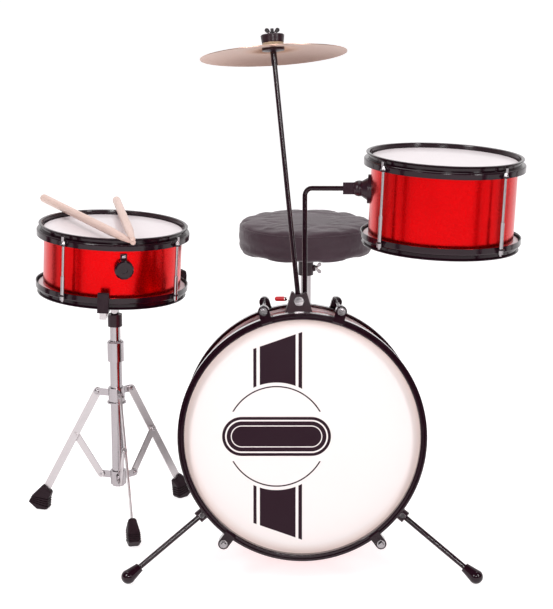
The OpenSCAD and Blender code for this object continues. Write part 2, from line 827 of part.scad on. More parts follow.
// Rubber jaws at the ends of the basket arms, under and outside the lower hoop
module basket_pads() {
    low = -snare_height;
    color("black") in_snare() for (angle = basket_angles) rotate([0, 0, angle]) difference() {
        across_y(-pad_width/2, pad_width/2) polygon([
            [127, low - 3.5], [127, low - 1], [128, low - 0.3], [141.4, low - 0.3], [141.4, low + 24],
            [143, low + 32], [144.5, low + 33], [147, low + 33], [149.5, low + 31], [151, low + 24],
            [151, low - 3.5]
        ]);
        translate([143.5, -6, low - 16]) cube([3.5, 12, 24]);
    }
}

// ---------- throne ----------

module throne_cushion() {
    low = seat_top - cushion_h;
    color("#262626") in_throne() rotate_extrude() polygon(concat(
        [[0, low], [seat_r - 10, low]], arc([seat_r - 8, low + 8], 8, -90, 0, 4),
        arc([seat_r - 18, seat_top - 20], 18, 0, 80, 5), [[0, seat_top]]
    ));
}

module throne_seat_board() {
    color("dimgray") in_throne() translate([0, 0, seat_top - cushion_h - board_h]) cylinder(r = board_r, h = board_h);
}

module throne_clamp() {
    plate = seat_top - cushion_h - board_h - 4;
    color("black") in_throne() difference() {
        union() {
            translate([-42, -42, plate]) cube([84, 84, 4]);
            translate([0, 0, plate - 12]) cylinder(r1 = 16, r2 = 26, h = 12.1);
            translate([0, 0, clamp_low]) cylinder(r = 16, h = plate - clamp_low - 11);
            translate([12, 0, clamp_screw_z]) rotate([0, 90, 0]) cylinder(r = 7, h = 8);
        }
        translate([0, 0, clamp_low - cut]) cylinder(r = post_r + fit, h = 35);
        translate([12, 0, clamp_screw_z]) rotate([0, 90, 0]) cylinder(r = 3 + fit, h = 20);
    }
}

module throne_clamp_screw() {
    color("silver") in_throne() translate([20.3, 0, clamp_screw_z]) rotate([0, 90, 0]) rotate([0, 0, 20])
        wing_screw(3, 8, 6, 26);
}

module throne_post() {
    color("silver") in_throne() translate([0, 0, 130]) cylinder(r = post_r, h = clamp_low + 33.8 - 130);
}

// Base tube with three legs that plug into its hub
module throne_base() {
    slope = atan2(throne_foot_ring, 118 - throne_foot_r);
    length = norm([throne_foot_ring, 118 - throne_foot_r]);
    color("silver") in_throne() difference() {
        union() {
            translate([0, 0, 60]) cylinder(r = 14, h = 210);
            translate([0, 0, 262]) cylinder(r = 18, h = 22);
            translate([0, 0, 84]) cylinder(r = 24, h = 44);
            for (i = [0:2]) rotate([0, 0, 90 + 120*i]) translate([0, 0, 118]) rotate([0, 180 - slope, 0])
                cylinder(r = 9.5, h = length - 8);
        }
        translate([0, 0, 72]) cylinder(r = post_r + fit, h = 300);
    }
}

module throne_feet() {
    slope = atan2(throne_foot_ring, 118 - throne_foot_r);
    length = norm([throne_foot_ring, 118 - throne_foot_r]);
    color("black") in_throne() for (i = [0:2]) rotate([0, 0, 90 + 120*i]) difference() {
        union() {
            translate([throne_foot_ring, 0, throne_foot_r]) sphere(r = throne_foot_r);
            translate([0, 0, 118]) rotate([0, 180 - slope, 0]) translate([0, 0, length - 34])
                cylinder(r1 = 11.5, r2 = throne_foot_r - 0.3, h = 34);
        }
        translate([0, 0, 118]) rotate([0, 180 - slope, 0]) cylinder(r = 9.5, h = length - 8);
    }
}

// ---------- pedal ----------

module pedal_frame() {
    color("dimgray") difference() {
        union() {
            translate([bass_x - 38, bass_y + 9, 0]) cube([76, 304, 4]);
            translate([bass_x - 22, bass_y + 7, 0]) cube([44, 18, 26]);
            for (side = [-1, 1]) translate([bass_x + side*34, 0, 0]) {
                across = side > 0 ? 0 : -5;
                translate([across, axle_at.y - 16, 0]) cube([5, 32, axle_at.z]);
                translate([across, axle_at.y, axle_at.z]) rotate([0, 90, 0]) cylinder(r = 13, h = 5);
            }
            for (side = [-1, 1]) translate([bass_x + side*34 - 3, heel_at.y - 9, 0]) cube([6, 18, heel_at.z + 7]);
        }
        translate([bass_x - 60, axle_at.y, axle_at.z]) rotate([0, 90, 0]) cylinder(r = 5 + fit, h = 120);
        translate([bass_x - 60, heel_at.y, heel_at.z]) rotate([0, 90, 0]) cylinder(r = 3 + fit, h = 120);
    }
}

// Axle with its cam and the beater on its shaft
module pedal_beater() {
    color("silver") translate(axle_at) {
        translate([-44, 0, 0]) rotate([0, 90, 0]) cylinder(r = 5, h = 88);
        rotate([-beater_rest, 0, 0]) {
            cylinder(r = 3, h = beater_reach + 14);
            translate([-9, -9, -9]) cube([18, 18, 24]);
            translate([0, 22, beater_reach]) rotate([90, 0, 0]) cylinder(r = 17, h = 40);
        }
        translate([-4, 0, 0]) rotate([0, 90, 0]) cylinder(r = 16, h = 8);
    }
}

module pedal_footboard() {
    toe = [toe_y, 56];
    heel = [heel_at.y, heel_at.z];
    run = norm(toe - heel);
    color("black") translate([bass_x, heel.x, heel.y]) {
        translate([-40, 0, 0]) rotate([0, 90, 0]) cylinder(r = 3, h = 80);
        rotate([-atan2(toe.y - heel.y, heel.x - toe.x), 0, 0]) difference() {
            union() {
                translate([-25, -run, -2]) cube([50, run, 5]);
                for (i = [0:5]) translate([-20, -run + 14 + 28*i, 3]) cube([40, 8, 1.5]);
                translate([-25, -8, -6]) cube([50, 14, 10]);
            }
            translate([-40, 0, 0]) rotate([0, 90, 0]) cylinder(r = 2.9, h = 80);
        }
    }
}

// ---------- sticks ----------

// Stick from its tip to its butt: acorn tip, taper and straight body
module stick(tip, butt) {
    v = butt - tip;
    heading = atan2(v.y, v.x);
    rise = acos(v.z/norm(v));
    color("wheat") translate(tip) rotate([0, rise, heading]) rotate_extrude() polygon(concat(
        [[0, 0]], [for (a = [15:25:165]) [1.4 + 3.3*sin(a), 5.5 - 5.5*cos(a)]],
        [[3.2, 13], [4.1, 20], [6.1, 50], [stick_r, 95], [stick_r, stick_length - 4]],
        arc([stick_r - 3, stick_length - 3], 3, 0, 90, 3), [[0, stick_length]]
    ));
}

module stick_lower() {
    stick(lower_tip, lower_butt);
}

module stick_upper() {
    stick(upper_tip, upper_butt);
}

bass_shell();
bass_hoops();
bass_front_head();
bass_batter_head();
bass_claws();
bass_tension_rods();
spur_brackets();
clamp_bolts();
spur_left();
spur_right();
rod_holder();
holder_screw();
cymbal_rod();
cymbal_cups();
cymbal_felts();
cymbal();
cymbal_wing_nut();
tom_arm();
tom_clamp();
tom_clamp_screw();
tom_shell();
tom_hoops();
tom_heads();
tom_tension_rods();
snare_shell();
snare_hoops();
snare_heads();
snare_tension_rods();
snare_wires();
snare_strainer();
strainer_knob();
stand_tube();
stand_upper_tube();
stand_collar();
stand_collar_screw();
stand_hub();
stand_leg_front();
stand_leg_right();
stand_leg_left();
stand_strut_front();
stand_strut_right();
stand_strut_left();
stand_boot_front();
stand_boot_right();
stand_boot_left();
tilter_sleeve();
basket_arms();
basket_pads();
throne_cushion();
throne_seat_board();
throne_clamp();
throne_clamp_screw();
throne_post();
throne_base();
throne_feet();
pedal_frame();
pedal_footboard();
pedal_beater();
stick_lower();
stick_upper();
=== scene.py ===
"""Looks of a junior acoustic drum kit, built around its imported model."""

import logging
import math
from dataclasses import dataclass
from enum import Enum

import bmesh
import bpy
from mathutils import Euler, Matrix, Vector, noise
from mathutils.bvhtree import BVHTree


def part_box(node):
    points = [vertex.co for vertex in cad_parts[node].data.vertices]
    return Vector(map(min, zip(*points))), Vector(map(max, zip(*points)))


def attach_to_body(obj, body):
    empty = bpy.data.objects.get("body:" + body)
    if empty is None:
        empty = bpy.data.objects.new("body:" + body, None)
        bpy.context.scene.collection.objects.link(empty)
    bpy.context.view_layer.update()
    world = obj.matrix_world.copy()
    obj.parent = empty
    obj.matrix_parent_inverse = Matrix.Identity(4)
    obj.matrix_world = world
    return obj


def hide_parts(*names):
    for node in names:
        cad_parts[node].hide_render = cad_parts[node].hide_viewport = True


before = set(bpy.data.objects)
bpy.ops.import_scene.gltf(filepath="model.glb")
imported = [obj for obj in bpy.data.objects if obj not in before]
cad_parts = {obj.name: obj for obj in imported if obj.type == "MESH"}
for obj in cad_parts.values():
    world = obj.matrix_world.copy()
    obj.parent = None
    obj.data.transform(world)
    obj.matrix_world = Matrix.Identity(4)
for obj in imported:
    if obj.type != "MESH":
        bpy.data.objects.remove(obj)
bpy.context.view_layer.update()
log = logging.getLogger("drum_kit")

Colour = tuple[float, float, float]
Point = tuple[float, float, float]
Pair = tuple[float, float]
Edge = tuple[Point, Point]


# ---------- shader tools ----------


@dataclass(frozen=True)
class Value:
    """A number that varies over a surface, with its maths written as operators."""

    graph: "Graph"
    socket: bpy.types.NodeSocket

    def maths(self, operation: str, *others: "Value | float") -> "Value":
        """Returns the result of one Math node on this value and others."""
        return self.graph.maths(operation, self, *others)

    def __add__(self, other: "Value | float") -> "Value":
        """Returns the sum."""
        return self.maths("ADD", other)

    __radd__ = __add__

    def __sub__(self, other: "Value | float") -> "Value":
        """Returns the difference."""
        return self.maths("SUBTRACT", other)

    def __rsub__(self, other: float) -> "Value":
        """Returns the difference from a plain number."""
        return self.graph.maths("SUBTRACT", other, self)

    def __mul__(self, other: "Value | float") -> "Value":
        """Returns the product."""
        return self.maths("MULTIPLY", other)

    __rmul__ = __mul__

    def __truediv__(self, other: "Value | float") -> "Value":
        """Returns the quotient."""
        return self.maths("DIVIDE", other)

    def __pow__(self, other: "Value | float") -> "Value":
        """Returns the power."""
        return self.maths("POWER", other)

    def over(self, edge: float, soft: float) -> "Value":
        """Returns 0 below an edge and 1 above it, with a step that is this soft."""
        return self.graph.clamp((self - edge) / soft + 0.5)

    def between(self, low: float, high: float, soft: float) -> "Value":
        """Returns 1 between two edges and 0 outside them, with soft steps."""
        return self.over(low, soft) * (1 - self.over(high, soft))

    def sine(self) -> "Value":
        """Returns the sine."""
        return self.maths("SINE")

    def most(self, other: "Value | float") -> "Value":
        """Returns the larger of the two."""
        return self.maths("MAXIMUM", other)

    def size(self) -> "Value":
        """Returns the value without its sign."""
        return self.maths("ABSOLUTE")


class Graph:
    """The node tree of one material or world."""

    def __init__(self, owner: bpy.types.ID) -> None:
        """Empties the owner's tree.

        Args:
            owner: the material or world.
        """
        owner.use_nodes = True
        self.tree = owner.node_tree
        self.tree.nodes.clear()

    def add(
        self,
        kind: str,
        settings: dict[str, object] | None = None,
        sockets: dict[str | int, object] | None = None,
    ) -> bpy.types.Node:
        """Adds a node of any type.

        Args:
            kind: the node's type.
            settings: its settings, set first; stops are a colour ramp's.
            sockets: a value or a link for each named or numbered input.

        Returns:
            The node.
        """
        node = self.tree.nodes.new(kind)
        for name, setting in (settings or {}).items():
            if name == "stops":
                ramp = node.color_ramp.elements
                while len(ramp) < len(setting):
                    ramp.new(0.5)
                for element, (at, colour) in zip(ramp, setting):
                    element.position = at
                    element.color = (*colour, 1)
            else:
                setattr(node, name, setting)
        self.wire(node, sockets or {})
        return node

    def wire(self, node: bpy.types.Node, sockets: dict[str | int, object]) -> None:
        """Sets or links the inputs of a node.

        Args:
            node: the node.
            sockets: a value or a link for each input.
        """
        for key, given in sockets.items():
            target = node.inputs[key]
            source = given.socket if isinstance(given, Value) else given
            if isinstance(source, bpy.types.NodeSocket):
                self.tree.links.new(source, target)
            elif isinstance(source, tuple) and target.type == "RGBA":
                target.default_value = (*source, 1)
            else:
                target.default_value = source

    def maths(self, operation: str, *terms: Value | float) -> Value:
        """Returns the result of one Math node on its terms."""
        node = self.add("ShaderNodeMath", {"operation": operation}, dict(enumerate(terms)))
        return Value(self, node.outputs[0])

    def clamp(self, value: Value) -> Value:
        """Returns a value held between 0 and 1."""
        settings = {"operation": "MULTIPLY", "use_clamp": True}
        return Value(self, self.add("ShaderNodeMath", settings, {0: value, 1: 1.0}).outputs[0])

    def place(
        self, at: Point = (0, 0, 0), turn: Point = (0, 0, 0), scale: Point = (1, 1, 1)
    ) -> bpy.types.NodeSocket:
        """Args:
            at: the frame's origin.
            turn: its rotation.
            scale: how far the frame is stretched.

        Returns:
            The position's socket.
        """
        where = self.add("ShaderNodeTexCoord").outputs["Object"]
        sockets = {"Vector": where, "Location": at, "Rotation": turn, "Scale": scale}
        return self.add("ShaderNodeMapping", {"vector_type": "TEXTURE"}, sockets).outputs[0]

    def split(self, vector: bpy.types.NodeSocket) -> tuple[Value, Value, Value]:
        """Returns the three parts of a position."""
        node = self.add("ShaderNodeSeparateXYZ", {}, {0: vector})
        return tuple(Value(self, out) for out in node.outputs)

    def along(self, x: Value) -> bpy.types.NodeSocket:
        """Returns the position that lies this far along the first axis."""
        return self.add("ShaderNodeCombineXYZ", {}, {0: x}).outputs[0]

    def noise(
        self, where: bpy.types.NodeSocket, scale: float, detail: float = 3, rough: float = 0.5
    ) -> Value:
        """Returns fractal noise about 0.5 of a scale, with octaves this rough."""
        sockets = {"Vector": where, "Scale": scale, "Detail": detail, "Roughness": rough}
        return Value(self, self.add("ShaderNodeTexNoise", {}, sockets).outputs[0])

    def cells(self, where: bpy.types.NodeSocket, scale: float) -> Value:
        """Returns the distance to the nearest of scattered points."""
        node = self.add("ShaderNodeTexVoronoi", {}, {"Vector": where, "Scale": scale})
        return Value(self, node.outputs["Distance"])

    def flecks(self, where: bpy.types.NodeSocket, scale: float) -> Value:
        """Returns a random level for each small cell."""
        node = self.add("ShaderNodeTexVoronoi", {}, {"Vector": where, "Scale": scale})
        return self.split(node.outputs["Color"])[0]

    def mix(self, low: object, high: object, amount: Value) -> bpy.types.NodeSocket:
        """Returns the blend of two colours, the low one at 0 and the high one at 1."""
        node = self.add("ShaderNodeMix", {"data_type": "RGBA"}, {0: amount, 6: low, 7: high})
        return node.outputs[2]

    def bump(self, height: Value, depth: float, strength: float = 1.0) -> bpy.types.NodeSocket:
        """Returns the normal of a height that is a share of a depth in metres."""
        sockets = {"Height": height, "Distance": depth, "Strength": strength}
        return self.add("ShaderNodeBump", {}, sockets).outputs[0]

    def surface(self, **sockets: object) -> None:
        """Adds the shader and the output that shows it.

        Args:
            sockets: what each of the shader's sockets gets; an underscore stands for a space.
        """
        names = {name.replace("_", " "): given for name, given in sockets.items()}
        shader = self.add("ShaderNodeBsdfPrincipled", {}, names)
        self.add("ShaderNodeOutputMaterial", {}, {"Surface": shader.outputs[0]})


# ---------- finishes ----------


@dataclass(frozen=True)
class Finish:
    """A named finish that can make its material."""

    name: str

    def shade(self, g: Graph) -> None:
        """Wires the finish into a material's graph."""
        raise NotImplementedError

    def material(self) -> bpy.types.Material:
        """Makes the material.

        Returns:
            The finished material.
        """
        made = bpy.data.materials.new(self.name)
        self.shade(Graph(made))
        return made


@dataclass(frozen=True)
class Wrap(Finish):
    """Clear plastic wrap over fine red metal flake."""

    deep: Colour = (0.44, 0.0004, 0.001)
    bright: Colour = (0.86, 0.0010, 0.003)

    def shade(self, g: Graph) -> None:
        """Wires flake, slow clouding and the clear top layer.

        Args:
            g: the material's graph.
        """
        here = g.place()
        flake = g.flecks(here, 1500)
        cloud = g.noise(here, 9, 2)
        tone = g.clamp(flake * 0.45 + cloud * 0.55)
        g.surface(
            Base_Color=g.mix(self.deep, self.bright, tone),
            Metallic=0.95,
            Roughness=0.2 + flake * 0.1,
            Coat_Weight=0.05,
            Coat_Roughness=0.03,
            Normal=g.bump(g.noise(here, 60, 2), 0.00012, 0.5),
        )


@dataclass(frozen=True)
class Gloss(Finish):
    """Glossy coating with faint orange peel and patches of lighter dust."""

    colour: Colour = (0.009, 0.001, 0.004)
    roughness: float = 0.13
    coat: float = 0.1
    peel: float = 0.00008

    def shade(self, g: Graph) -> None:
        """Wires tone, gloss and orange peel.

        Args:
            g: the material's graph.
        """
        here = g.place()
        dust = g.noise(here, 35, 4, 0.6)
        lift = tuple(min(1.0, part * 1.5 + 0.003) for part in self.colour)
        g.surface(
            Base_Color=g.mix(self.colour, lift, g.clamp(dust * 1.6 - 0.45)),
            Roughness=self.roughness + g.noise(here, 140, 3) * 0.12 - 0.06,
            Specular_IOR_Level=0.3,
            Coat_Weight=self.coat,
            Coat_Roughness=0.06,
            Normal=g.bump(g.noise(here, 420, 2), self.peel),
        )


@dataclass(frozen=True)
class Chrome(Finish):
    """Polished plating with hairline wipe marks."""

    colour: Colour = (0.44, 0.405, 0.42)
    roughness: float = 0.16

    def shade(self, g: Graph) -> None:
        """Wires the plating and its wipe marks.

        Args:
            g: the material's graph.
        """
        here = g.place()
        stretched = g.place(scale=(0.25, 0.25, 1.6))
        marks = g.noise(stretched, 900, 2, 0.6)
        smear = g.noise(here, 28, 3)
        g.surface(
            Base_Color=g.mix(tuple(0.82 * part for part in self.colour), self.colour, smear),
            Metallic=1.0,
            Roughness=self.roughness + g.clamp(smear - 0.4) * 0.22,
            Normal=g.bump(marks, 0.00003, 0.5),
        )


@dataclass(frozen=True)
class Film(Finish):
    """Smooth white drum head."""

    colour: Colour = (0.70, 0.635, 0.655)

    def shade(self, g: Graph) -> None:
        """Wires a coated film with faint clouding and a fine tooth.

        Args:
            g: the material's graph.
        """
        here = g.place()
        cloud = g.noise(here, 14, 4, 0.6)
        g.surface(
            Base_Color=g.mix(tuple(0.95 * part for part in self.colour), self.colour, cloud),
            Roughness=0.3 + g.noise(here, 90, 3) * 0.16,
            Coat_Weight=0.35,
            Coat_Roughness=0.12,
            Normal=g.bump(g.noise(here, 900, 2), 0.00004),
        )


@dataclass(frozen=True)
class PrintedFilm(Finish):
    """Front head with a printed stripe group, a thin ring, a plain badge and a painted shaded rim, in
    its own frame.
    """

    at: Point = (0, 0, 0)
    turn: Point = (0, 0, 0)
    white: Colour = (0.80, 0.725, 0.715)
    # Painted shade: this darker, pinker colour at the head's rim stands in for the hoop's shadow on the
    # film's collar.
    edge: Colour = (0.768, 0.58, 0.5291)
    rim_shade_share: float = 0.8
    rim_shade_from: Pair = (0.196, 0.016)
    ink: Colour = (0.016, 0.003, 0.009)
    bars: tuple[Pair, ...] = ((-0.0844, -0.0789), (-0.0732, -0.0114), (-0.0066, -0.0002))
    below: float = 0.1505
    above: float = 0.1521
    slant: float = 0.348
    slant_from: float = 0.0848
    centre: Pair = (-0.0443, 0.0005)
    ring: Pair = (0.0853, 0.0877)
    ring_gap: float = 0.009
    gap: float = 0.0935
    badge: Pair = (0.094, 0.034)
    outlines: tuple[Pair, Pair] = ((0.0052, 0.0078), (0.0150, 0.0166))
    soft: float = 0.0004

    def shade(self, g: Graph) -> None:
        """Wires the print and the painted rim shade from distances in the head's frame.

        Args:
            g: the material's graph.
        """
        here = g.place(self.at, self.turn)
        x, y, _ = g.split(here)
        stripes = x.between(*self.bars[0], self.soft)
        for bar in self.bars[1:]:
            stripes = stripes.most(x.between(*bar, self.soft))
        slope = (x + self.slant_from) * self.slant
        stripes = stripes * (self.above + slope - y).over(0, self.soft)
        stripes = stripes * (y + self.below + slope).over(0, self.soft)
        dx, dy = x - self.centre[0], y - self.centre[1]
        away = (dx * dx + dy * dy) ** 0.5
        stripes = stripes * away.over(self.gap, self.soft)
        reach, half = self.badge
        line = away.between(*self.ring, self.soft) * dy.size().over(half + self.ring_gap, self.soft)
        along = (dx.size() - (reach - half)).most(0)
        inset = half - (along * along + dy * dy) ** 0.5
        outer, inner = (inset.between(*band, self.soft) for band in self.outlines)
        badge = inset.over(0, self.soft) * (1 - outer) * (1 - inner)
        ink = g.clamp(stripes.most(line).most(badge))
        # Painted shade: the film turns to the darker rim colour near its edge, where the hoop shades
        # it.
        edge = g.clamp(((x * x + y * y) ** 0.5).over(*self.rim_shade_from))
        paper = g.mix(self.white, self.edge, edge * self.rim_shade_share)
        g.surface(
            Base_Color=g.mix(paper, self.ink, ink),
            Roughness=0.2 + g.noise(here, 60, 3) * 0.08 + ink * 0.06,
            Specular_IOR_Level=0.2,
            Normal=g.bump(ink + g.noise(here, 30, 2) * 0.6, 0.00005),
        )


@dataclass(frozen=True)
class Bronze(Finish):
    """Lathed sheet bronze, ringed about the cymbal's axis."""

    at: Point = (0, 0, 0)
    turn: Point = (0, 0, 0)
    pale: Colour = (0.56, 0.36, 0.29)
    warm: Colour = (0.55, 0.29, 0.17)
    bell: Pair = (0.047, 0.02)

    def shade(self, g: Graph) -> None:
        """Wires lathe rings, a warmer bell and a little tarnish.

        Args:
            g: the material's graph.
        """
        here = g.place(self.at, self.turn)
        x, y, _ = g.split(here)
        away = (x * x + y * y) ** 0.5
        rings = g.noise(g.along(away), 1500, 3, 0.7)
        coarse = g.noise(g.along(away), 190, 2)
        bell = 1 - away.over(*self.bell)
        tarnish = g.noise(here, 22, 4, 0.6)
        tone = g.clamp(bell * 0.75 + coarse * 0.3 + tarnish * 0.35 - 0.2)
        g.surface(
            Base_Color=g.mix(self.pale, self.warm, tone),
            Metallic=0.9,
            Roughness=0.26 + rings * 0.16,
            Normal=g.bump(rings + coarse * 2, 0.00008),
        )


@dataclass(frozen=True)
class Felt(Finish):
    """Pressed wool felt."""

    colour: Colour = (0.46, 0.34, 0.23)
    # Painted shade: the darker felt colour laid into the low parts of the tufts.
    tuft_hollow_shade: Colour = (0.276, 0.204, 0.138)

    def shade(self, g: Graph) -> None:
        """Wires tufts and loose fibres, with painted shade in the tufts' hollows.

        Args:
            g: the material's graph.
        """
        here = g.place()
        tuft = g.noise(here, 260, 5, 0.7)
        fibre = g.noise(g.place(turn=(0.3, 0.2, 0.5), scale=(2.4, 0.5, 1)), 900, 3)
        g.surface(
            # Painted shade: the felt darkens where the tuft noise, which also sets the bump, is low.
            Base_Color=g.mix(self.tuft_hollow_shade, self.colour, g.clamp(tuft * 1.4 - 0.2)),
            Roughness=0.92,
            Sheen_Weight=0.35,
            Sheen_Roughness=0.5,
            Normal=g.bump(tuft + fibre * 0.6, 0.0007),
        )


@dataclass(frozen=True)
class Rubber(Finish):
    """Moulded black rubber with scuffs and dust."""

    colour: Colour = (0.013, 0.003, 0.007)
    dust: Colour = (0.028, 0.015, 0.020)

    def shade(self, g: Graph) -> None:
        """Wires a dull moulded skin.

        Args:
            g: the material's graph.
        """
        here = g.place()
        scuff = g.clamp(g.noise(here, 70, 5, 0.65) * 2.2 - 0.9)
        g.surface(
            Base_Color=g.mix(self.colour, self.dust, scuff),
            Roughness=0.5 + scuff * 0.3,
            Specular_IOR_Level=0.2,
            Normal=g.bump(g.noise(here, 1100, 3) + scuff * 0.5, 0.00012),
        )


@dataclass(frozen=True)
class Vinyl(Finish):
    """Soft matt seat vinyl with a pebbled grain and pull wrinkles."""

    colour: Colour = (0.030, 0.014, 0.021)
    worn: Colour = (0.051, 0.0238, 0.0357)

    def shade(self, g: Graph) -> None:
        """Wires the pebbled grain, slow wrinkles and worn gloss.

        Args:
            g: the material's graph.
        """
        here = g.place()
        grain = g.cells(here, 620)
        wrinkle = g.noise(g.place(turn=(0, 0, 0.5), scale=(1.9, 0.7, 1)), 26, 3, 0.45)
        wear = g.noise(here, 12, 3)
        g.surface(
            Base_Color=g.mix(self.colour, self.worn, g.clamp(wear * 1.3 - 0.2)),
            Roughness=0.46 + grain * 0.16,
            Specular_IOR_Level=0.3,
            Sheen_Weight=0.2,
            Sheen_Roughness=0.4,
            Normal=g.bump(grain * 0.2 + wrinkle * 0.5, 0.0010),
        )


@dataclass(frozen=True)
class Maple(Finish):
    """Lacquered pale wood with its grain along a stick."""

    at: Point = (0, 0, 0)
    heading: float = 0.0
    stretch: Point = (14, 1, 1)
    pale: Colour = (0.66, 0.47, 0.41)
    dark: Colour = (0.46, 0.29, 0.23)

    def shade(self, g: Graph) -> None:
        """Wires growth lines, pores and a thin lacquer.

        Args:
            g: the material's graph.
        """
        here = g.place(self.at, (0, 0, self.heading), self.stretch)
        growth = g.noise(here, 150, 4, 0.6)
        pores = g.noise(here, 900, 2, 0.5)
        tone = g.clamp(growth * 0.8 + g.clamp(pores - 0.52) * 2.6 - 0.25)
        g.surface(
            Base_Color=g.mix(self.pale, self.dark, tone),
            Roughness=0.38 + growth * 0.12,
            Coat_Weight=0.25,
            Coat_Roughness=0.2,
            Normal=g.bump(pores, 0.00008),
        )


@dataclass(frozen=True)
class Plywood(Finish):
    """Bare plywood with its plies showing at the edge."""

    pale: Colour = (0.50, 0.35, 0.21)
    dark: Colour = (0.30, 0.18, 0.09)
    ply: float = 2500.0

    def shade(self, g: Graph) -> None:
        """Wires plies over the height and grain over the face.

        Args:
            g: the material's graph.
        """
        z = g.split(g.place())[2]
        plies = (z * self.ply).sine() * 0.5 + 0.5
        grain = g.noise(g.place(scale=(9, 1, 1)), 120, 4)
        g.surface(
            Base_Color=g.mix(self.pale, self.dark, g.clamp(plies * 0.5 + grain * 0.6 - 0.1)),
            Roughness=0.7,
            Normal=g.bump(grain, 0.0002),
        )


@dataclass(frozen=True)
class Split(Finish):
    """Two finishes of one piece, parted by a plane: chrome before it, paint or felt beyond."""

    at: Point = (0, 0, 0)
    turn: Point = (0, 0, 0)
    edge: float = 0.0
    beyond: Colour = (0.62, 0.01, 0.02)
    rough: float = 0.25
    grain: float = 300.0
    depth: float = 0.00005
    soft: float = 0.0005
    metal: tuple[Colour, Colour] = ((0.72, 0.71, 0.72), (0.84, 0.83, 0.84))

    def shade(self, g: Graph) -> None:
        """Wires both finishes along the frame's height.

        Args:
            g: the material's graph.
        """
        here = g.place(self.at, self.turn)
        z = g.split(here)[2]
        far = z.over(self.edge, self.soft)
        pattern = g.noise(here, self.grain, 4, 0.6)
        metal = g.mix(*self.metal, pattern)
        paint = g.mix(tuple(part * 0.7 for part in self.beyond), self.beyond, pattern)
        g.surface(
            Base_Color=g.mix(metal, paint, far),
            Metallic=1 - far,
            Roughness=0.12 + pattern * 0.05 + far * self.rough,
            Normal=g.bump(pattern * far, self.depth),
        )


@dataclass(frozen=True)
class Paper(Finish):
    """Plain pale studio floor."""

    colour: Colour = (0.42, 0.41, 0.415)
    pale: Colour = (0.46, 0.45, 0.455)
    glow: Colour = (1.0, 0.99, 0.995)
    glow_strength: float = 0.8

    def shade(self, g: Graph) -> None:
        """Wires a matt sheet with a trace of tone.

        Args:
            g: the material's graph.
        """
        g.surface(
            Base_Color=g.mix(self.colour, self.pale, g.noise(g.place(), 1.2, 2)),
            Roughness=0.9,
            Emission_Color=self.glow,
            Emission_Strength=self.glow_strength,
        )


class Stock(Enum):
    """The finishes that several pieces share."""

    WRAP = Wrap("red_flake_wrap")
    HOOP = Gloss("black_hoop_gloss")
    BLACK = Gloss(
        "black_satin_coat", (0.016, 0.003, 0.008), roughness=0.32, coat=0.03, peel=0.00012
    )
    PLASTIC = Gloss(
        "black_moulded_plastic", (0.014, 0.003, 0.007), roughness=0.36, coat=0.03, peel=0.0002
    )
    CHROME = Chrome("chrome_plate")
    STEEL = Chrome("bright_steel", (0.62, 0.575, 0.585), roughness=0.3)
    FILM = Film("white_film")
    FELT = Felt("pressed_felt")
    RUBBER = Rubber("black_rubber")
    VINYL = Vinyl("seat_vinyl")
    PLYWOOD = Plywood("seat_plywood")


MADE: dict[str, bpy.types.Material] = {}


def material_of(finish: Finish | Stock) -> bpy.types.Material:
    """Returns a finish's material, made once.

    Args:
        finish: the finish, or the name of a shared one.

    Returns:
        The material.
    """
    chosen = finish.value if isinstance(finish, Stock) else finish
    if chosen.name not in MADE:
        MADE[chosen.name] = chosen.material()
    return MADE[chosen.name]


def dress(finish: Finish | Stock, *nodes: str) -> None:
    """Gives a finish to carried-over CAD nodes.

    Args:
        finish: the finish.
        nodes: the nodes' names.
    """
    for name in nodes:
        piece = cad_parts[name]
        for slot in piece.material_slots:
            slot.material = material_of(finish)
        log.info("dressed %s as %s", name, material_of(finish).name)


# ---------- mesh tools ----------


def make(name: str, mesh: bmesh.types.BMesh, finish: Finish | Stock) -> bpy.types.Object:
    """Turns a finished bmesh into a smooth-shaded object.

    Args:
        name: the piece's name.
        mesh: the bmesh, which is freed.
        finish: its finish.

    Returns:
        The object.
    """
    bmesh.ops.recalc_face_normals(mesh, faces=mesh.faces)
    for face in mesh.faces:
        face.smooth = True
    data = bpy.data.meshes.new(name)
    mesh.to_mesh(data)
    mesh.free()
    data.materials.append(material_of(finish))
    piece = bpy.data.objects.new(name, data)
    bpy.context.scene.collection.objects.link(piece)
    log.info("built %s", name)
    return piece


def rise(value: float, start: float, width: float) -> float:
    """Returns 0 up to a start, then a straight rise over a width to 1."""
    return max(0.0, min(1.0, (value - start) / width))


def ridge(value: float, middle: float, width: float) -> float:
    """Returns 1 at the middle and a bell-shaped fall beside it."""
    return math.exp(-(((value - middle) / width) ** 2))


def angles(count: int) -> list[float]:
    """Returns the angles of a full turn in equal steps."""
    return [2 * math.pi * i / count for i in range(count)]


def spun(profile: list[Pair], steps: int) -> bmesh.types.BMesh:
    """Spins an outline about the z axis.

    Args:
        profile: radius and height of each point; a radius of 0 is a pole.
        steps: how many steps the turn has.

    Returns:
        The bmesh.
    """
    mesh = bmesh.new()
    rings = []
    for radius, height in profile:
        turn = angles(steps) if radius else [0.0]
        spots = [(radius * math.cos(a), radius * math.sin(a), height) for a in turn]
        rings.append([mesh.verts.new(spot) for spot in spots])
    for low, high in zip(rings, rings[1:]):
        for i in range(steps):
            j = (i + 1) % steps
            corners = [low[i % len(low)], low[j % len(low)]]
            corners += [high[j % len(high)], high[i % len(high)]]
            mesh.faces.new(list(dict.fromkeys(corners)))
    return mesh


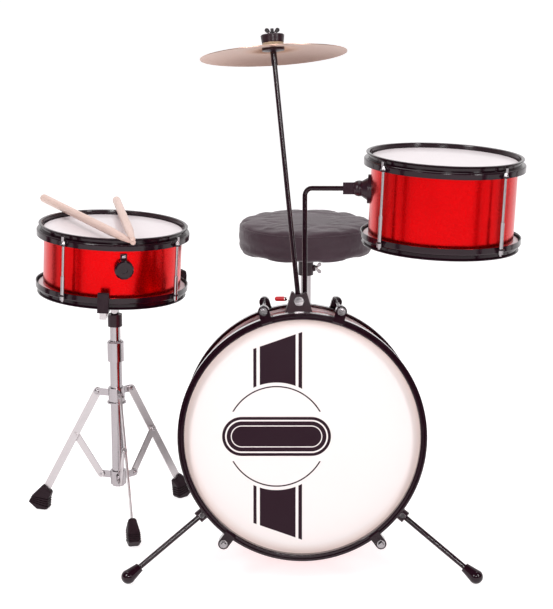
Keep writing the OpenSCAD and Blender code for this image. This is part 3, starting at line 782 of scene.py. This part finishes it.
def loft(rows: list[list[Vector]], closed: bool) -> bmesh.types.BMesh:
    """Skins a run of loops that have equally many points.

    Args:
        rows: the points of each loop.
        closed: whether the last loop joins the first; if not, both get a cap.

    Returns:
        The bmesh.
    """
    mesh = bmesh.new()
    rings = [[mesh.verts.new(point) for point in row] for row in rows]
    for one, two in zip(rings, rings[1:] + rings[: int(closed)]):
        for i in range(len(one)):
            j = (i + 1) % len(one)
            mesh.faces.new((one[i], one[j], two[j], two[i]))
    if not closed:
        mesh.faces.new(rings[0])
        mesh.faces.new(rings[-1])
    return mesh


DOME = ((0, 0), (1, 0), (0.97, 0.14), (0.82, 0.3), (0.5, 0.42), (0, 0.46))
DOME_STEPS = 24


def domes(places: list[Matrix], radius: float) -> bmesh.types.BMesh:
    """Makes domed heads, one on the z axis of each of several frames.

    Args:
        places: the frames in which the heads sit.
        radius: their radius.

    Returns:
        The bmesh of all heads.
    """
    together = bmesh.new()
    for place in places:
        head = spun([(radius * out, radius * up) for out, up in DOME], DOME_STEPS)
        head.transform(place)
        part = bpy.data.meshes.new("head")
        head.to_mesh(part)
        head.free()
        together.from_mesh(part)
        bpy.data.meshes.remove(part)
    return together


def attach(piece: bpy.types.Object, body: str) -> None:
    """Makes a piece ride on a body.

    Args:
        piece: the piece.
        body: the body that carries it.
    """
    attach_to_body(piece, body)


# ---------- sub-assemblies ----------


@dataclass
class BassDrum:
    """The bass drum with its claws, rods, spurs and rod holder."""

    tilt: float = math.radians(9.5)
    back: Point = (0.06965, -0.21937, 0.21205)

    def printed_head(self) -> PrintedFilm:
        """Returns the front head's finish, placed on the head."""
        return PrintedFilm("printed_film", self.back, (math.pi / 2 - self.tilt, 0, 0))

    def lever(self) -> Split:
        """Returns the thumb lever's finish: chrome with a red grip."""
        low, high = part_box("holder_screw")
        return Split("lever_grip", tuple(high), (0, -math.pi / 2, 0), (high.x - low.x) * 0.5)

    def build(self) -> None:
        """Dresses every node of the drum."""
        dress(Stock.WRAP, "bass_shell")
        dress(Stock.HOOP, "bass_hoops", "bass_claws")
        dress(self.printed_head(), "bass_front_head")
        dress(Stock.FILM, "bass_batter_head")
        dress(Stock.CHROME, "bass_tension_rods", "clamp_bolts")
        dress(Stock.BLACK, "spur_brackets", "rod_holder")
        dress(Stock.HOOP, "spur_left", "spur_right")
        dress(self.lever(), "holder_screw")


@dataclass
class CymbalGroup:
    """The cymbal on its rod, with cups, felts and nut."""

    tilt: Point = (math.radians(-13.6), math.radians(-3.6), 0)

    def build(self) -> None:
        """Dresses the rod, the cymbal and what holds it."""
        low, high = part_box("cymbal")
        centre = tuple((low + high) / 2)
        dress(Bronze("lathed_bronze", centre, self.tilt), "cymbal")
        dress(Stock.HOOP, "cymbal_rod")
        dress(Stock.BLACK, "cymbal_cups")
        dress(Stock.FELT, "cymbal_felts")
        dress(Stock.CHROME, "cymbal_wing_nut")


@dataclass
class SmallDrums:
    """The tom on its arm and the snare drum."""

    snare_at: Point = (-0.27545, -0.16577, 0.5699)
    snare_tilt: Pair = (math.radians(0.3), math.radians(2.8))
    shell: float = 0.127
    strainer_angle: float = math.radians(-76.5)
    strainer_drop: float = 0.056
    screw: float = 0.0042
    screw_up: float = 0.022
    screw_out: float = 0.0049

    def strainer_screw(self) -> None:
        """Adds the chrome screw above the strainer's knob."""
        roll, lean = (
            Matrix.Rotation(angle, 4, axis) for angle, axis in zip(self.snare_tilt, ("X", "Y"))
        )
        place = Matrix.Translation(self.snare_at) @ lean @ roll
        place @= Matrix.Translation((0, 0, -self.strainer_drop))
        place @= Matrix.Rotation(self.strainer_angle, 4, "Z") @ Matrix.Rotation(math.pi / 2, 4, "Y")
        place @= Matrix.Translation((-self.screw_up, 0, self.shell + self.screw_out))
        screw = make("strainer_screw", domes([place], self.screw), Stock.CHROME)
        attach(screw, "snare")

    def build(self) -> None:
        """Dresses both drums and the tom's arm."""
        self.strainer_screw()
        dress(Stock.WRAP, "tom_shell", "snare_shell")
        dress(Stock.HOOP, "tom_hoops", "snare_hoops", "tom_arm")
        dress(Stock.FILM, "tom_heads", "snare_heads")
        dress(Stock.CHROME, "tom_tension_rods", "snare_tension_rods", "tom_clamp_screw")
        dress(Stock.BLACK, "tom_clamp", "snare_strainer")
        dress(Stock.HOOP, "strainer_knob")
        dress(Stock.STEEL, "snare_wires")


@dataclass
class SnareStand:
    """The folding stand with its basket."""

    at: Point = (-0.27675, -0.16447, 0)
    first: float = math.radians(-76.4)
    sides: tuple[str, ...] = ("front", "right", "left")
    rivet: float = 0.0046
    hub_rivet: Point = (0.0375, 0.0064, 0.246)
    hub_rivet_far: Point = (0.0375, 0.00015, 0.246)
    ring_rivet: Point = (0.036, -0.0064, 0.080)
    strut_rivet: Point = (0.086, -0.0032, 0.156)
    sole: Edge = ((0.1465, 0, 0), (0.169, 0, 0))
    foot: Edge = ((0.144, 0, 0.0035), (0.1835, 0, 0.0135))
    ankle: Edge = ((0.142, 0, 0.023), (0.1765, 0, 0.0265))
    neck: Edge = ((0.137, 0, 0.0345), (0.1535, 0, 0.0495))
    sole_half: float = 0.0098
    half: float = 0.0117
    neck_half: float = 0.0065
    neck_shrink: float = 0.0006
    taper: float = 0.0046
    taper_at: Point = (0.3, 0.6, 0.93)
    ribs: int = 4
    rib: tuple[Pair, ...] = ((0.0, 0.0), (0.125, 0.0), (0.15, 0.002), (0.225, 0.002))
    bevel: float = 0.003
    across: float = 0.0017

    def plane(self, index: int) -> Matrix:
        """Returns the frame of one leg: x points outward and y across the leg."""
        turn = self.first + math.radians(120 * index)
        return Matrix.Translation(self.at) @ Matrix.Rotation(turn, 4, "Z")

    def head(self, index: int, at: Point, facing: int) -> Matrix:
        """Returns the frame of a rivet head on a leg; it faces along the leg's y axis or against it."""
        turn = Matrix.Rotation(-facing * math.pi / 2, 4, "X")
        return self.plane(index) @ Matrix.Translation(at) @ turn

    def rivets(self) -> None:
        """Adds the rivet heads of the hub, the lower ring and the struts."""
        pair = ((self.hub_rivet, 1), (self.hub_rivet_far, -1))
        upper = [self.head(i, at, facing) for i in range(3) for at, facing in pair]
        lower = [self.head(i, self.ring_rivet, -1) for i in range(3)]
        attach(make("hub_rivets", domes(upper, self.rivet), Stock.CHROME), "hub")
        attach(make("ring_rivets", domes(lower, self.rivet), Stock.CHROME), "stand")
        for i, side in enumerate(self.sides):
            heads = domes([self.head(i, self.strut_rivet, -1)], self.rivet)
            piece = make(f"strut_rivet_{side[0]}", heads, Stock.CHROME)
            attach(piece, f"strut_{side[0]}")

    def section(
        self, low: Edge, high: Edge, share: float, half: float, shrink: float = 0.0
    ) -> list[Vector]:
        """Returns one bevelled section of a boot, between two of its edges.

        Args:
            low: the inner and outer end of the lower edge, in the leg's frame.
            high: those of the upper edge.
            share: how far up the section lies between the two.
            half: half its width.
            shrink: how far a groove cuts in all round.

        Returns:
            Eight corners.
        """
        inner, outer = (Vector(a).lerp(Vector(b), share) for a, b in zip(low, high))
        run = (outer - inner).normalized()
        a, b = inner + run * shrink, outer - run * shrink
        cut, w = run * self.bevel, half - shrink
        v = w - self.bevel
        corners = [(a + cut, -w), (b - cut, -w), (b, -v), (b, v)]
        corners += [(b - cut, w), (a + cut, w), (a, v), (a, -v)]
        return [Vector((p.x, y + self.across, p.z)) for p, y in corners]

    def boot(self) -> bmesh.types.BMesh:
        """Lofts a ribbed rubber boot in a leg's frame.

        Returns:
            The bmesh.
        """
        rows = [self.section(self.sole, self.sole, 0, self.sole_half)]
        for k in range(self.ribs):
            for step, shrink in self.rib:
                share = k / self.ribs + step
                rows.append(self.section(self.foot, self.ankle, share, self.half, shrink))
        rows.append(self.section(self.ankle, self.ankle, 0, self.half))
        for share in self.taper_at:
            rows.append(self.section(self.ankle, self.neck, share, self.half - self.taper * share))
        rows.append(self.section(self.neck, self.neck, 0, self.neck_half, self.neck_shrink))
        return loft(rows, closed=False)

    def boots(self) -> None:
        """Puts a ribbed boot on every leg."""
        for i, side in enumerate(self.sides):
            piece = make(f"ribbed_boot_{side}", self.boot(), Stock.RUBBER)
            piece.data.transform(self.plane(i))
            for face in piece.data.polygons:
                face.use_smooth = False
            attach(piece, f"leg_{side[0]}")
            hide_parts(f"stand_boot_{side}")

    def build(self) -> None:
        """Adds rivets and boots and dresses the tubes, legs and basket."""
        self.rivets()
        self.boots()
        dress(Stock.CHROME, "stand_tube", "stand_upper_tube", "stand_collar")
        dress(Stock.CHROME, "stand_collar_screw", "stand_hub")
        dress(Stock.STEEL, "basket_arms", *(f"stand_leg_{side}" for side in self.sides))
        dress(Stock.STEEL, *(f"stand_strut_{side}" for side in self.sides))
        dress(Stock.RUBBER, "basket_pads", *(f"stand_boot_{side}" for side in self.sides))
        dress(Stock.BLACK, "tilter_sleeve")


@dataclass
class Throne:
    """The round throne with its stuffed seat."""

    slack: float = 0.007
    under: tuple[Pair, ...] = ((0.012, 0), (0.002, 0.005), (0, 0.018))
    over: tuple[Pair, ...] = ((0, -0.016), (0.004, -0.006), (0.014, -0.0005))
    crest: tuple[Pair, ...] = ((0.6, 0.001), (0.3, 0.0015), (0, 0.0015))
    steps: int = 72
    voxel: float = 0.005
    pressure: float = 4
    stiffness: float = 1.2
    quality: int = 5
    frames: int = 20
    cap: float = 0.0022
    skirt: float = 0.005
    crown: float = 0.003
    bands: int = 24
    shoulder: float = 0.76
    curl: float = 0.075
    curl_power: float = 2.4
    hem_share: float = 0.08
    tuck: float = 0.012
    drawn_from: float = 0.7
    side_from: Pair = (0.9, 0.08)
    seam_drop: float = 0.013
    seam: Pair = (0.0022, 0.0026)
    hem_up: float = 0.006
    hem: Pair = (0.003, 0.0018)
    pucker: Point = (3.2, 30, 0.0011)
    top_over: float = 0.012
    fold: Point = (16, 34, 0.0022)
    fold_sharp: float = 7
    fold_at: Pair = (0.62, 0.42)
    swell: Pair = (11, 0.0018)
    cord: float = 0.0017
    cord_sink: float = 0.3
    cord_steps: int = 144

    def blank(self, radius: float, low: float, high: float) -> bmesh.types.BMesh:
        """Makes the slack seat cover before it is filled.

        Args:
            radius: the seat's radius.
            low: its lowest height.
            high: its highest height.

        Returns:
            The bmesh.
        """
        r = radius - self.slack
        top, bottom = high - self.slack, low + self.slack * 0.5
        outline = [(0, bottom), (r * 0.5, bottom)]
        outline += [(r - inset, bottom + up) for inset, up in self.under]
        outline.append((r, (top + bottom) / 2))
        outline += [(r - inset, top + up) for inset, up in self.over]
        outline += [(r * share, top + up) for share, up in self.crest]
        return spun(outline, self.steps)

    def fill(self, cushion: bpy.types.Object) -> None:
        """Inflates the cover as cloth and keeps the result.

        Args:
            cushion: the slack cover.
        """
        remesh = cushion.modifiers.new("even", "REMESH")
        remesh.mode = "VOXEL"
        remesh.voxel_size = self.voxel
        remesh.use_smooth_shade = True
        self.bake(cushion)
        start = [vertex.co.copy() for vertex in cushion.data.vertices]
        cloth = cushion.modifiers.new("fill", "CLOTH")
        cloth.settings.use_pressure = True
        cloth.settings.uniform_pressure_force = self.pressure
        cloth.settings.effector_weights.gravity = 0
        cloth.settings.quality = self.quality
        cloth.settings.bending_stiffness = self.stiffness
        scene = bpy.context.scene
        cloth.point_cache.frame_start = 1
        cloth.point_cache.frame_end = self.frames
        for step in range(self.frames):
            scene.frame_set(step + 1)
        self.bake(cushion)
        scene.frame_set(1)
        for vertex, home in zip(cushion.data.vertices, start):
            move = vertex.co - home
            if move.length > self.cap:
                vertex.co = home + move * (self.cap / move.length)

    def bake(self, piece: bpy.types.Object) -> None:
        """Replaces a piece's mesh by the one its modifiers give, and drops them.

        Args:
            piece: the piece.
        """
        shown = piece.evaluated_get(bpy.context.evaluated_depsgraph_get())
        result = bpy.data.meshes.new_from_object(shown)
        piece.modifiers.clear()
        piece.data = result

    def square(self, points: list[Vector], wide: float, short: float, tall: float) -> None:
        """Draws the filled cover out to its upright side band and keeps its folds.

        Args:
            points: the cover's points, which are moved.
            wide: its largest radius.
            short: its lowest height.
            tall: its highest height.
        """
        bands = [0.0] * (self.bands + 1)
        for point in points:
            band = int(self.bands * (point.z - short) / (tall - short))
            bands[band] = max(bands[band], math.hypot(point.x, point.y))
        for point in points:
            level = (point.z - short) / (tall - short)
            place = level * self.bands - 0.5
            band = max(0, min(self.bands - 2, int(place)))
            part = rise(place, band, 1)
            edge = bands[band] * (1 - part) + bands[band + 1] * part
            curl = self.curl * rise(level, self.shoulder, 1 - self.shoulder) ** self.curl_power
            tuck = self.tuck * (1 - rise(level, 0, self.hem_share)) ** 2
            reach = math.hypot(point.x, point.y) / edge
            share = rise(reach, self.drawn_from, 1 - self.drawn_from)
            pull = 1 + (wide * (1 - curl - tuck) / edge - 1) * share * share * (3 - 2 * share)
            point.x *= pull
            point.y *= pull

    def settle(self, cushion: bpy.types.Object, low: Vector, high: Vector) -> None:
        """Fits the filled seat into its space, then sews in the seams and pull wrinkles.

        Args:
            cushion: the filled seat, still centred on the z axis.
            low: the lowest corner of the space.
            high: the highest corner.
        """
        radius = (high.x - low.x) / 2
        points = [vertex.co for vertex in cushion.data.vertices]
        wide = max(math.hypot(p.x, p.y) for p in points)
        tall = max(p.z for p in points)
        short = min(p.z for p in points)
        seam = high.z - self.seam_drop
        across, along, deep = self.fold
        self.square(points, wide, short, tall)
        for point in points:
            height = low.z + (point.z - short) * (high.z - low.z) / (tall - short)
            reach = math.hypot(point.x, point.y)
            share = min(1.0, reach / wide)
            side = rise(share, *self.side_from)
            top = rise(height, seam, self.top_over)
            stitch = self.seam[1] * ridge(height, seam, self.seam[0])
            hem = self.hem[1] * ridge(height, low.z + self.hem_up, self.hem[0])
            inward = (stitch + hem + self.drift(point, height) * (1 - top)) * side
            scale = (share * radius - inward) / max(reach, 1e-6)
            crumple = noise.noise(Vector((point.x * across, point.y * along, 4.0)))
            crease = max(0.0, 1 - abs(crumple) * self.fold_sharp)
            crease *= max(0.0, 1 - abs(share - self.fold_at[0]) / self.fold_at[1])
            fine, lift = self.swell
            swell = lift * noise.noise(Vector((point.x * fine, point.y * fine, 1.0)))
            point.x *= scale
            point.y *= scale
            point.z = height - top * (deep * crease + abs(swell))

    def drift(self, point: Vector, height: float) -> float:
        """Returns how far the side band is drawn in by its pull wrinkles.

        Args:
            point: a point of the cover.
            height: the height it gets.

        Returns:
            The depth.
        """
        round_it, up, deep = self.pucker
        angle = math.atan2(point.y, point.x)
        where = Vector((round_it * math.cos(angle), round_it * math.sin(angle), height * up))
        return abs(deep * noise.noise(where))

    def build(self) -> None:
        """Builds the seat and dresses the frame under it."""
        low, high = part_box("throne_cushion")
        low, high = low - Vector((0, 0, self.skirt)), high + Vector((0, 0, self.crown))
        middle = Vector(((low.x + high.x) / 2, (low.y + high.y) / 2, 0))
        radius = (high.x - low.x) / 2
        cushion = make("seat_cushion", self.blank(radius, low.z, high.z), Stock.VINYL)
        self.fill(cushion)
        self.settle(cushion, low, high)
        smooth = cushion.modifiers.new("round", "SUBSURF")
        smooth.levels = smooth.render_levels = 1
        self.bake(cushion)
        cushion.data.transform(Matrix.Translation(middle))
        for face in cushion.data.polygons:
            face.use_smooth = True
        cushion.data.materials.clear()
        cushion.data.materials.append(material_of(Stock.VINYL))
        attach(cushion, "seat")
        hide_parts("throne_cushion")
        self.welt(cushion, middle + Vector((0, 0, high.z - self.seam_drop)), radius)
        dress(Stock.PLYWOOD, "throne_seat_board")
        dress(Stock.BLACK, "throne_clamp")
        dress(Stock.CHROME, "throne_clamp_screw", "throne_post", "throne_base")
        dress(Stock.RUBBER, "throne_feet")

    def welt(self, cushion: bpy.types.Object, centre: Vector, reach: float) -> None:
        """Lays a thin corded welt in the seat's upper seam, against the filled cover.

        Args:
            cushion: the finished seat, in its place.
            centre: the seat's middle at the seam's height.
            reach: its radius.
        """
        shape, cord = cushion.data, self.cord
        faces = [tuple(face.vertices) for face in shape.polygons]
        tree = BVHTree.FromPolygons([vertex.co for vertex in shape.vertices], faces)
        ways = [Vector((math.cos(a), math.sin(a), 0)) for a in angles(self.cord_steps)]
        radii = []
        for way in ways:
            rim = centre + way * reach
            hit = tree.ray_cast(centre + way * reach * 1.2, -way)[0] or rim
            radii.append((hit - centre).length)
        rows = []
        for i, way in enumerate(ways):
            near = radii[i - 1] + radii[i] + radii[(i + 1) % len(radii)]
            run = near / 3 - cord * self.cord_sink
            spots = ((run + cord * math.cos(a), cord * math.sin(a)) for a in angles(8))
            rows.append([centre + way * out + Vector((0, 0, up)) for out, up in spots])
        attach(make("seat_welt", loft(rows, closed=True), Stock.VINYL), "seat")


@dataclass
class Pedal:
    """The bass drum pedal."""

    felt_from: float = 0.070
    felt_edge: float = 0.018
    felt: Colour = (0.62, 0.58, 0.50)

    def build(self) -> None:
        """Dresses the frame, the footboard and the beater."""
        _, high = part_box("pedal_beater")
        beater = Split(
            "beater_felt",
            (0, 0, high.z - self.felt_from),
            edge=self.felt_edge,
            beyond=self.felt,
            rough=0.75,
            grain=500.0,
            depth=0.0006,
        )
        dress(beater, "pedal_beater")
        dress(Stock.BLACK, "pedal_frame")
        dress(Stock.PLASTIC, "pedal_footboard")


@dataclass
class Sticks:
    """The pair of drum sticks."""

    def build(self) -> None:
        """Dresses each stick with grain along its own length."""
        for name in ("stick_lower", "stick_upper"):
            low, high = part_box(name)
            heading = math.atan2(high.y - low.y, low.x - high.x)
            dress(Maple(f"maple_{name}", tuple(high), heading), name)


@dataclass
class Studio:
    """The camera, the pale floor, the soft lights and the dark cards."""

    eye: Point = (0.02525, -3.43037, 1.19917)
    pitch: float = math.radians(76.516)
    lens: float = 106.404
    sensor: float = 36
    far: float = 60
    floor_half: float = 40
    floor_drop: float = 0.0006
    look: Point = (0, 0, 0.4)
    lamps: tuple[tuple[str, Point, Pair, float], ...] = (
        ("key", (-1.7, -2.5, 2.2), (0.7, 1.7), 52),
        ("fill", (2.2, -2.4, 1.8), (0.5, 1.7), 38),
        ("front", (0.3, -3.9, 1.7), (0.5, 0.5), 34),
        ("top", (0.0, 0.4, 3.4), (2.6, 2.6), 60),
    )
    cards: tuple[Pair, ...] = (
        (-97, 0.34),
        (-78, 0.10),
        (-52, 0.22),
        (48, 0.16),
        (84, 0.30),
        (101, 0.10),
    )
    card_height: float = 1.6
    card_lift: float = 0.02
    stand_off: float = 1.9
    dim: Colour = (0.06, 0.0576, 0.0588)
    bright: Colour = (1, 0.985, 0.99)
    bright_from: float = 0.32
    strength: float = 1.0

    def camera(self) -> None:
        """Places the camera."""
        data = bpy.data.cameras.new("camera")
        data.lens = self.lens
        data.sensor_width = self.sensor
        data.clip_end = self.far
        eye = bpy.data.objects.new("camera", data)
        eye.location = self.eye
        eye.rotation_euler = Euler((self.pitch, 0, 0))
        bpy.context.scene.collection.objects.link(eye)
        bpy.context.scene.camera = eye

    def floor(self) -> None:
        """Builds the pale floor."""
        mesh = bmesh.new()
        bmesh.ops.create_grid(mesh, x_segments=8, y_segments=8, size=self.floor_half)
        floor = make("studio_floor", mesh, Paper("studio_paper"))
        floor.location.z = -self.floor_drop

    def light(self, name: str, at: Point, size: Pair, power: float) -> None:
        """Args:
            name: the light's name.
            at: where it hangs.
            size: its width and height.
            power: its power in watts.
        """
        data = bpy.data.lights.new(name, "AREA")
        data.shape = "RECTANGLE"
        data.size, data.size_y = size
        data.energy = power
        lamp = bpy.data.objects.new(name, data)
        lamp.location = at
        way = Vector(self.look) - Vector(at)
        lamp.rotation_euler = way.to_track_quat("-Z", "Y").to_euler()
        bpy.context.scene.collection.objects.link(lamp)

    def flag(self, bearing: int, width: float) -> None:
        """Args:
            width: its width.
        """
        mesh = bmesh.new()
        half, tall, turn = width / 2, self.card_height, math.radians(bearing)
        corners = [(-half, 0, 0), (half, 0, 0), (half, 0, tall), (-half, 0, tall)]
        mesh.faces.new([mesh.verts.new(corner) for corner in corners])
        card = make(f"flag_{bearing + 180}", mesh, Stock.RUBBER)
        way = Vector((math.sin(turn), -math.cos(turn), 0))
        card.location = way * self.stand_off + Vector((0, 0, self.card_lift))
        card.rotation_euler = (0, 0, turn)
        card.visible_camera = False
        card.visible_diffuse = False
        card.visible_shadow = False

    def world(self) -> None:
        world = bpy.data.worlds.new("studio")
        g = Graph(world)
        way = g.add("ShaderNodeTexCoord").outputs["Generated"]
        stops = ((0.0, self.dim), (self.bright_from, self.bright))
        ramp = g.add("ShaderNodeValToRGB", {"stops": stops}, {0: g.split(way)[1]})
        back = g.add("ShaderNodeBackground", {}, {0: ramp.outputs[0], 1: self.strength})
        g.add("ShaderNodeOutputWorld", {}, {"Surface": back.outputs[0]})
        bpy.context.scene.world = world

    def build(self) -> None:
        """Sets up the whole studio."""
        bpy.context.scene.view_settings.view_transform = "Standard"
        self.camera()
        self.floor()
        self.world()
        for lamp in self.lamps:
            self.light(*lamp)
        for bearing, width in self.cards:
            self.flag(bearing, width)


def main() -> None:
    logging.basicConfig(level=logging.INFO, format="%(name)s: %(message)s")
    kit = (BassDrum(), CymbalGroup(), SmallDrums(), SnareStand(), Throne(), Pedal(), Sticks())
    for group in (Studio(), *kit):
        group.build()
        log.info("finished %s", type(group).__name__)
    bpy.context.view_layer.update()


if __name__ == "__main__":
    main()
